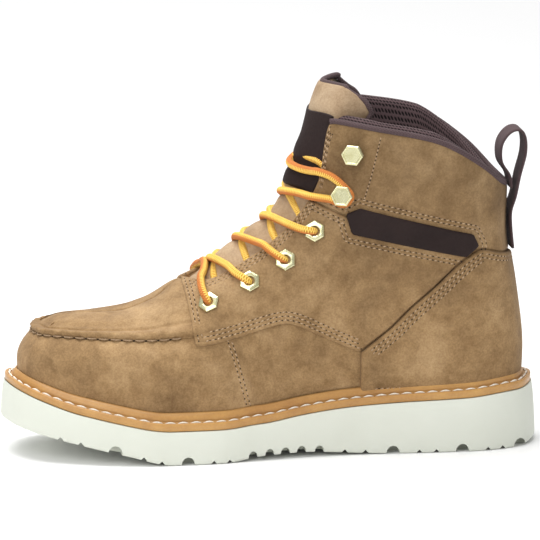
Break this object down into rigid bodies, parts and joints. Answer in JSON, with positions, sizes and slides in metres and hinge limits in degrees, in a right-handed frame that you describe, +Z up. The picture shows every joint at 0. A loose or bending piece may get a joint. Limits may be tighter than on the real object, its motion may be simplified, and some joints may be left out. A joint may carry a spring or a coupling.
{
  "type": "wedge sole work boot",
  "caption": "Ankle-high moc toe work boot on a one-piece wedge sole, with a stitched welt, padded collar and tongue, lace hooks and a heel pull loop.",
  "frame": {"origin": "on the floor under the middle of the heel, at the heel's flat resting face", "axes": "+X to the toe, +Y to the boot's outer side, +Z up"},
  "size_m": [0.308, 0.1129, 0.2118],
  "materials": {
    "sole": "matte cream wedge sole, finely textured side",
    "welt": "smooth caramel welt with a soft sheen",
    "insole": "matte brown board",
    "leather": "taupe brown nubuck, waxed, with lighter rubbed patches",
    "trim": "dark plum brown webbing and patch, matte",
    "lining": "dark plum brown padded mesh lining",
    "metal": "pale gold plated, bright",
    "lace": "round yellow lace with orange brown flecks"
  },
  "bodies": {
    "root": {"wedge_sole": "sole", "welt": "welt", "insole": "insole", "upper": "leather", "quarter_outer": "leather", "quarter_inner": "leather", "shaft_panel": "leather", "counter": "leather", "side_patch": "trim", "tongue": "leather", "collar_lining": "lining", "pull_loop": "trim", "eyelet_outer_1": "metal", "eyelet_outer_2": "metal", "eyelet_outer_3": "metal", "eyelet_outer_4": "metal", "eyelet_inner_1": "metal", "eyelet_inner_2": "metal", "eyelet_inner_3": "metal", "eyelet_inner_4": "metal", "hook_outer_1": "metal", "hook_outer_2": "metal", "hook_inner_1": "metal", "hook_inner_2": "metal", "lace_bar": "lace", "lace_cross_1": "lace", "lace_cross_2": "lace", "lace_cross_3": "lace", "lace_cross_4": "lace", "lace_cross_5": "lace"}
  },
  "joints": []
}
